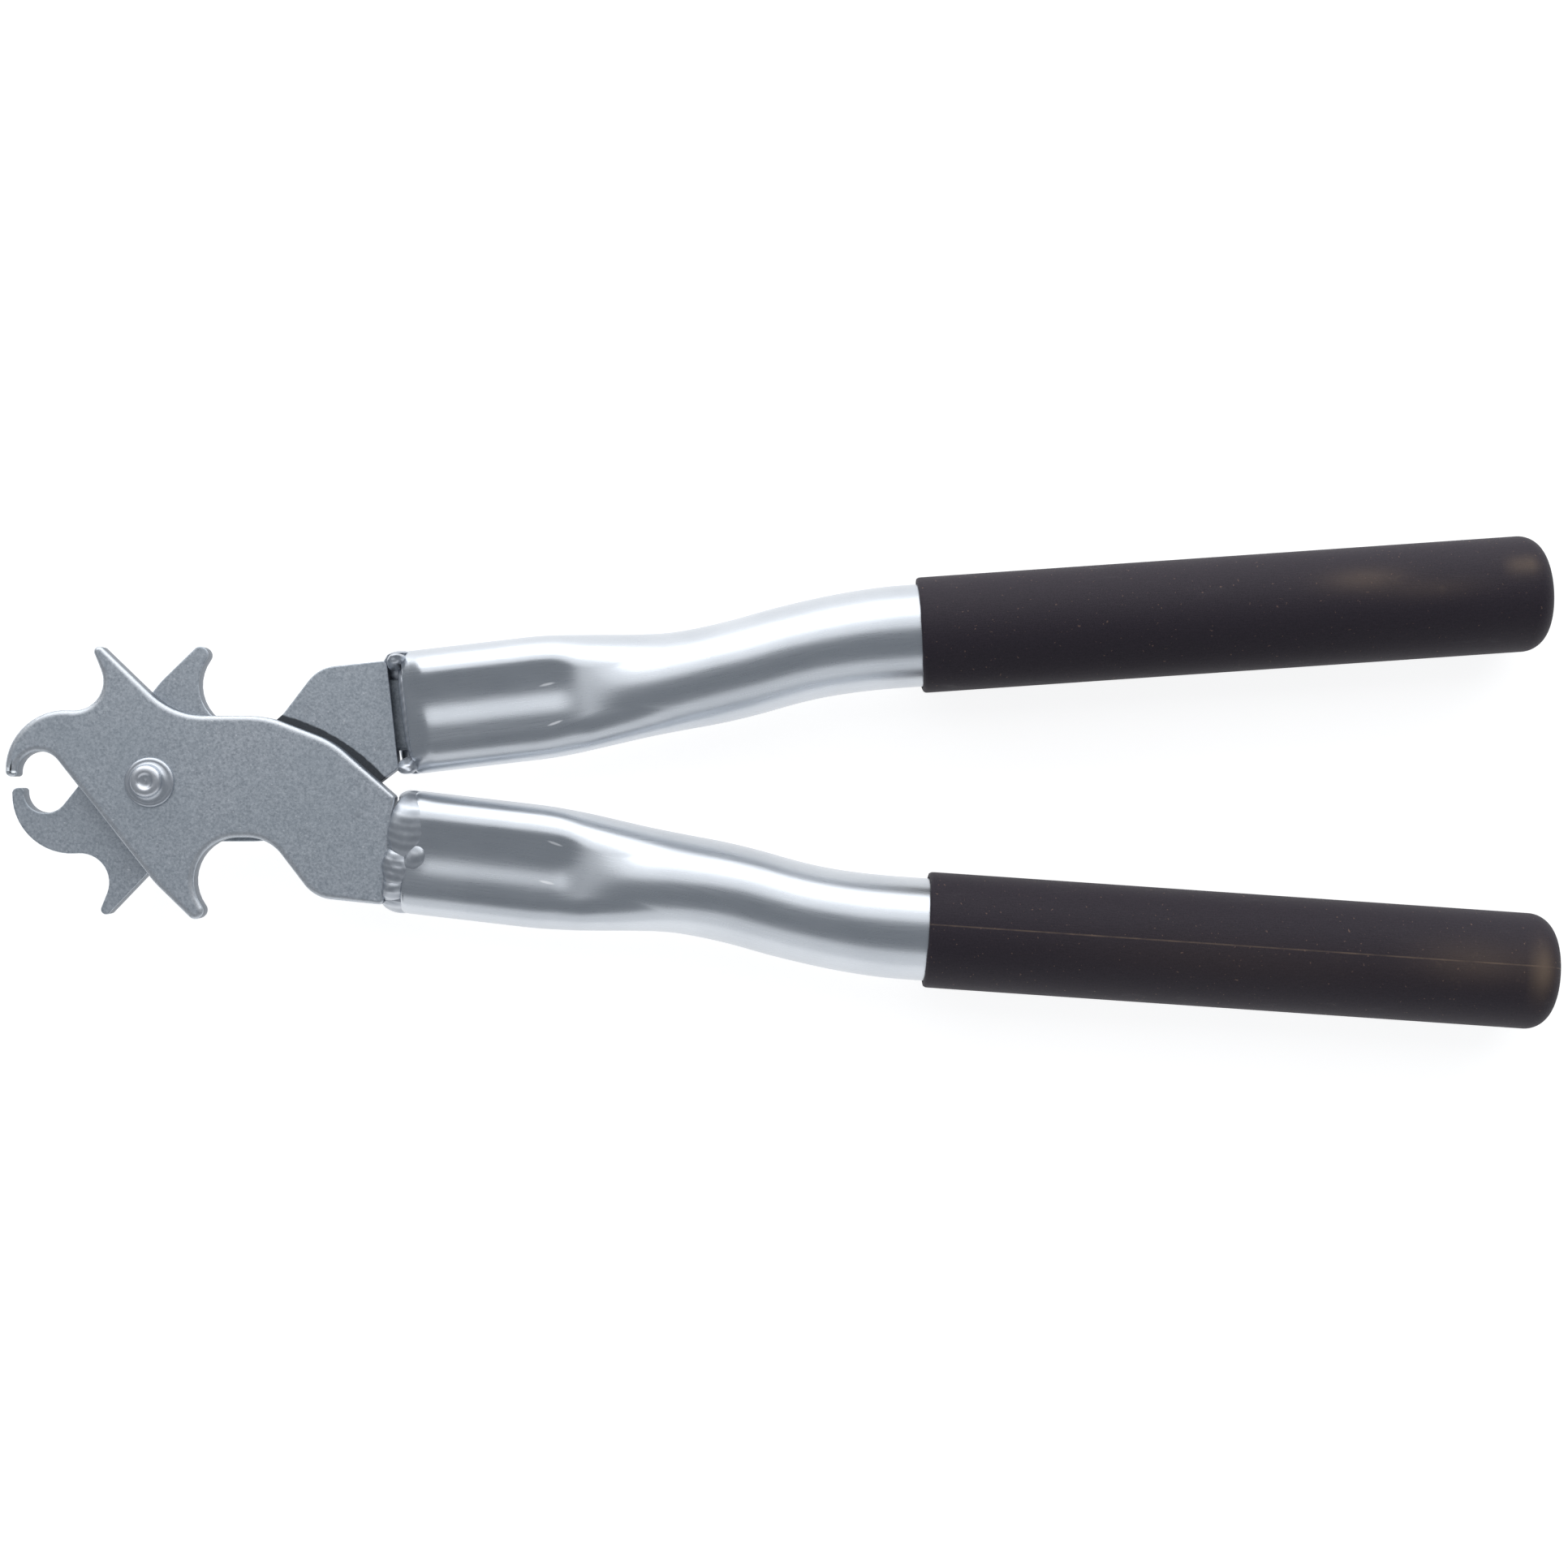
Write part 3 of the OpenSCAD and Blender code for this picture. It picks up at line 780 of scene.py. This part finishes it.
def make_weld(name, runs, upper):
    """Weld of several laps, each a bead in the mouth's frame (along, across, up)."""
    way = np.array([[math.cos(FLAT_SLOPE), -math.sin(FLAT_SLOPE), 0],
                    [math.sin(FLAT_SLOPE), math.cos(FLAT_SLOPE), 0], [0, 0, 1]])
    points, faces, painted_relief_lights, start = [], [], [], 0
    for run in runs:
        rings, painted_relief_light = bead(**run)
        rows, cols = rings.shape[:2]
        inner = rings[1:-1]
        block = np.concatenate([inner.reshape(-1, 3), rings[0].mean(0)[None],
                                rings[-1].mean(0)[None]])
        first, last = start + len(block) - 2, start + len(block) - 1
        ring = np.arange(cols)
        faces += [grid_quads(rows - 2, cols, start=start)[:, ::-1],
                  fan(start + ring, first)[:, ::-1],
                  fan(start + (rows - 3) * cols + ring, last)]
        points.append(block)
        painted_relief_lights.append(np.concatenate([painted_relief_light[1:-1].ravel(), [0.5, 0.5]]))
        start += len(block)
    points = np.concatenate(points) @ way + np.append(MOUTH, 0.0)
    return piece(name, points, faces, upper, marks={"painted_relief_light": np.concatenate(painted_relief_lights)})


OUTER_RUNS = [
    dict(middle=(0.1, 5.2, 4.5), along_half=6.8, wide=3.7, tall=1.9, seed=4, laps=8, ripple=0.010),
    dict(middle=(-1.2, -3.2, 4.1), along_half=4.0, wide=3.0, tall=2.0, seed=9, laps=6, ripple=0.015),
    dict(middle=(1.7, -1.2, 4.9), along_half=3.2, wide=2.3, tall=1.15, seed=15, laps=3, ripple=0.01),
    dict(middle=(-1.3, -7.4, 3.7), along_half=3.2, wide=2.6, tall=1.9, seed=12, laps=5, ripple=0.012),
    dict(middle=(-0.6, -10.3, 3.2), along_half=1.9, wide=2.9, tall=2.4, seed=17, laps=3),
    dict(middle=(4.3, 7.9, 5.3), along_half=0.5, wide=1.4, tall=0.45, seed=19, laps=1, sway=0.0),
]
ROOT_RUNS = [
    dict(middle=(-0.2, 0.3, -0.4), along_half=10.2, wide=1.2, tall=2.0, seed=21, laps=11, sway=0.15),
    dict(middle=(-0.9, 10.2, 0.6), along_half=1.7, wide=2.2, tall=3.6, seed=24, laps=2),
    dict(middle=(-1.0, -10.0, 0.6), along_half=1.6, wide=2.0, tall=3.2, seed=26, laps=2),
]


# ---- Turned shapes ----

def turned(profile, segments, wobble=0.0, seed=0):
    """Rings of a profile of (radius, height) pairs turned about Z, a little out of true.

    The radius at angle a is radius + wobble * (a few cosines of a) * radius / largest radius.
    """
    rng = np.random.default_rng(seed)
    turn = np.linspace(0, 2 * np.pi, segments, endpoint=False)
    uneven = sum(rng.uniform(0.3, 1.0) * np.cos(k * turn + rng.uniform(0, 6.28)) / k
                 for k in (2, 3, 5))
    radius = profile[:, 0][:, None]
    radius = radius + wobble * uneven * radius / profile[:, 0].max()
    height = np.broadcast_to(profile[:, 1][:, None], radius.shape)
    return np.stack([radius * np.cos(turn), radius * np.sin(turn), height], 2), turn


def rounded_off(points, passes):
    """Polyline smoothed by cutting every corner at a quarter and three quarters, pass by pass."""
    line = np.array(points, float)
    for _ in range(passes):
        near = 0.75 * line[:-1] + 0.25 * line[1:]
        far = 0.25 * line[:-1] + 0.75 * line[1:]
        line = np.concatenate([line[:1], np.stack([near, far], 1).reshape(-1, 2), line[-1:]])
    return line


def make_rivet(name):
    """Rivet: a dimpled boss on a thin pressed flange in front, a low round head behind."""
    top = FACE_Z + 2.1
    front = [(0, top - 0.50), (0.8, top - 0.52), (1.25, top - 0.38), (1.55, top - 0.10),
             (1.95, top), (2.6, top - 0.10), (3.05, top - 0.45), (3.25, top - 1.0),
             (3.40, FACE_Z + 0.80), (3.9, FACE_Z + 0.60), (4.4, FACE_Z + 0.62),
             (4.78, FACE_Z + 0.42), (4.85, FACE_Z + 0.1), (4.8, FACE_Z)]
    back = -FACE_Z - 0.1
    behind = [(5.45, back), (5.5, back - 0.3), (5.4, back - 0.9), (4.9, back - 1.5),
              (3.6, back - 2.05), (1.8, back - 2.18), (0, back - 2.2)]
    front, behind = rounded_off(front, 3), rounded_off(behind, 3)
    profile = np.concatenate([front, [(SHANK_R, FACE_Z - 0.02), (SHANK_R, back + 0.02)], behind])
    rings, turn = turned(profile, RIVET_STEPS, 0.05, 31)
    boss = smooth((profile[:, 1] - FACE_Z - 0.5) / 0.8) * (profile[:, 1] > 0)
    rings += boss[:, None, None] * np.array([-0.42, 0.22, 0.0])
    rings[..., 2] += 0.06 * np.cos(turn - 0.8) * boss[:, None]
    inner = rings[1:-1]
    rows, cols = inner.shape[:2]
    poles = np.array([[0, 0, profile[0, 1]], [0, 0, profile[-1, 1]]])
    points = np.concatenate([inner.reshape(-1, 3), poles])
    ring = np.arange(cols)
    faces = [grid_quads(rows, cols), fan(ring, rows * cols),
             fan((rows - 1) * cols + ring, rows * cols + 1)[:, ::-1]]
    # Painted light by height: highlight on the boss's rim, shade at its foot.
    painted_relief_light = np.interp(profile[1:-1, 1], [FACE_Z, FACE_Z + 0.9, top - 0.4, top], [0.5, 0.25, 0.6, 1])
    painted_relief_light = np.concatenate([np.repeat(painted_relief_light, cols), [0.5, 0.5]])
    return piece(name, points, faces, False, marks={"painted_relief_light": painted_relief_light})


def make_grip(name, start, upper, seed, rubs):
    """Sleeve grip: a straight round sleeve with a rough cut lip and a soft, closed end.

    The profile is turned about the tube's own axis; the lip's edge wanders along the axis by a
    few seeded cosines of the angle, and the skin is uneven by a few hundredths.
    """
    r, end = GRIP_R - GRIP_SKIN, GRIP_LEN
    body = [(r, x) for x in np.linspace(1.2, end - GRIP_ROUND - GRIP_CROWN - 0.3, 40)]
    corner = [(r - GRIP_ROUND * (1 - math.cos(t)), end - GRIP_CROWN - GRIP_ROUND * (1 - math.sin(t)))
              for t in np.linspace(0.02, 1.5, 16)]
    crown = [((r - GRIP_ROUND) * u, end - GRIP_CROWN * u * u) for u in (0.85, 0.65, 0.45, 0.2, 0)]
    bore = TUBE_D / 2 + 0.02
    lip = [(bore, GRIP_INSIDE), (bore, 0.9), (bore + 0.15, 0.25), (r - 0.75, 0.0), (r - 0.25, 0.12),
           (r - 0.03, 0.55)]
    profile = np.array(lip + body + corner + crown)
    rings, turn = turned(profile, GRIP_STEPS, 0.03, seed)
    rng = np.random.default_rng(seed + 1)
    edge = sum(rng.uniform(0.4, 1.0) * np.cos(k * turn + rng.uniform(0, 6.28)) / k ** 0.7
               for k in (1, 2, 3, 5, 9, 14))
    lip_run = 2.2
    near_lip = smooth((lip_run - profile[:, 1]) / lip_run)
    rings[..., 2] += 0.14 * near_lip[:, None] * (edge - edge.min())[None, :]
    closed = rings[:-1]
    rows, cols = closed.shape[:2]
    points, heading = centreline(np.array([start]))
    along = np.array([math.cos(heading[0]), math.sin(heading[0]), 0])
    side = np.array([-along[1], along[0], 0])
    local = np.concatenate([closed.reshape(-1, 3), [[0, 0, profile[-1, 1]]]])
    placed = (np.append(points[0], 0.0) + local[:, 2:] * along + local[:, :1] * side
              + local[:, 1:2] * np.array([0, 0, 1.0]))
    ring = np.arange(cols)
    inside = np.append(points[0] + along[:2] * GRIP_INSIDE, 0.0)
    placed = np.concatenate([placed, [inside]])
    faces = [grid_quads(rows, cols)[:, ::-1],
             fan((rows - 1) * cols + ring, rows * cols),
             fan(ring, rows * cols + 1)[:, ::-1]]
    place = np.concatenate([np.repeat(profile[:-1, 1], cols), [end, GRIP_INSIDE]])
    angle = np.concatenate([np.tile(turn, rows), [0.0, 0.0]])
    uv = np.stack([place * MAP_PER_MM, angle / (2 * np.pi)], 1)
    rubbed = sum(strength * np.exp(-((place - at) / length) ** 2
                                   - ((np.degrees(angle) - facing) / spread) ** 2)
                 for at, facing, length, spread, strength in rubs)
    return piece(name, placed, faces, upper, uv=uv, marks={"rubbed": rubbed})


# Rubbed places on each grip: distance from the lip, facing in degrees, length, spread, strength
GRIP_RUBS = {
    "lower": [(117.6, 86, 2.0, 24, 1.00), (105, 82, 11, 20, 0.40), (60, 96, 34, 22, 0.12)],
    "upper": [(116, 244, 2.4, 10, 0.80), (85, 248, 7, 12, 0.45), (98, 262, 9, 10, 0.18)],
}


# ---- Put the pliers together ----

PLATE, TUBE, WELD = plate_steel(), tube_steel(), weld_metal()
RIVET, GRIP = rivet_steel(), grip_sleeve()

for arm, upper in (("lower", False), ("upper", True)):
    body = arm + "_arm"
    plate_node = "rear_plate" if upper else "front_plate"
    waist = REAR_WAIST if upper else FRONT_WAIST
    plate = make_plate(plate_node + "_stamping", waist, upper)
    finish_piece(plate, plate_node, PLATE, body)
    tube = make_tube(arm + "_tube_drawn", upper)
    finish_piece(tube, arm + "_tube", TUBE, body)
    weld = make_weld(arm + "_outer_weld_bead", OUTER_RUNS, upper)
    finish_piece(weld, arm + "_outer_weld", WELD, body)
    root = make_weld(arm + "_root_weld_bead", ROOT_RUNS, upper)
    finish_piece(root, arm + "_root_weld", WELD, body)
    start = GRIP_START + (0.0 if upper else LOWER_GRIP_OUT)
    grip = make_grip(arm + "_grip_sleeve", start, upper, 51 if upper else 41, GRIP_RUBS[arm])
    finish_piece(grip, arm + "_grip", GRIP, body)

rivet = make_rivet("pivot_rivet_formed")
finish_piece(rivet, "pivot_rivet", RIVET, "lower_arm")


# ---- Floor, light and camera ----

def make_floor():
    """Wide pale floor just under the grips."""
    half = 2.5
    mesh = bpy.data.meshes.new("floor")
    mesh.from_pydata([(-half, -half, 0), (half, -half, 0), (half, half, 0), (-half, half, 0)],
                     [], [(0, 1, 2, 3)])
    mesh.materials.append(floor_paper())
    floor = bpy.data.objects.new("floor", mesh)
    bpy.context.scene.collection.objects.link(floor)


def soft_box(name, place, aim, width, height, watts):
    """Rectangular soft light at a place, facing a point."""
    light = bpy.data.lights.new(name, "AREA")
    light.shape = "RECTANGLE"
    light.size, light.size_y = width, height
    light.energy = watts
    lamp = bpy.data.objects.new(name, light)
    lamp.location = place
    lamp.rotation_euler = (Vector(aim) - Vector(place)).to_track_quat("-Z", "Y").to_euler()
    bpy.context.scene.collection.objects.link(lamp)


def set_light():
    """Bright low soft box beyond the tool, a dim one above it, a dim panel in front, grey room."""
    soft_box("back_softbox", (0.0, 0.710, 0.287), (0.0, 0.221, 0.0), 1.8, 0.62, 6.6)
    soft_box("high_softbox", (0.0, 0.45, 0.775), (0.0, 0.0, 0.475), 1.8, 0.54, 2.9)
    soft_box("front_panel", (0.0, -0.80, 0.28), (0.0, 0.0, 0.0), 1.7, 0.62, 2.0)
    world = bpy.data.worlds.new("room")
    world.use_nodes = True
    background = world.node_tree.nodes["Background"]
    background.inputs["Color"].default_value = (0.86, 0.92, 1.0, 1)
    background.inputs["Strength"].default_value = 0.27
    bpy.context.scene.world = world


def set_camera():
    """Camera straight above the middle of the tool, looking down, with +Y up in the picture."""
    offset = np.array([0.12294, -0.00035, 0.4413])
    data = bpy.data.cameras.new("camera")
    data.sensor_width = 36.0
    data.lens = 51.8
    camera = bpy.data.objects.new("camera", data)
    camera.location = (PIVOT + offset).tolist()
    bpy.context.scene.collection.objects.link(camera)
    bpy.context.scene.camera = camera
    bpy.context.scene.view_settings.view_transform = "Standard"


make_floor()
set_light()
set_camera()
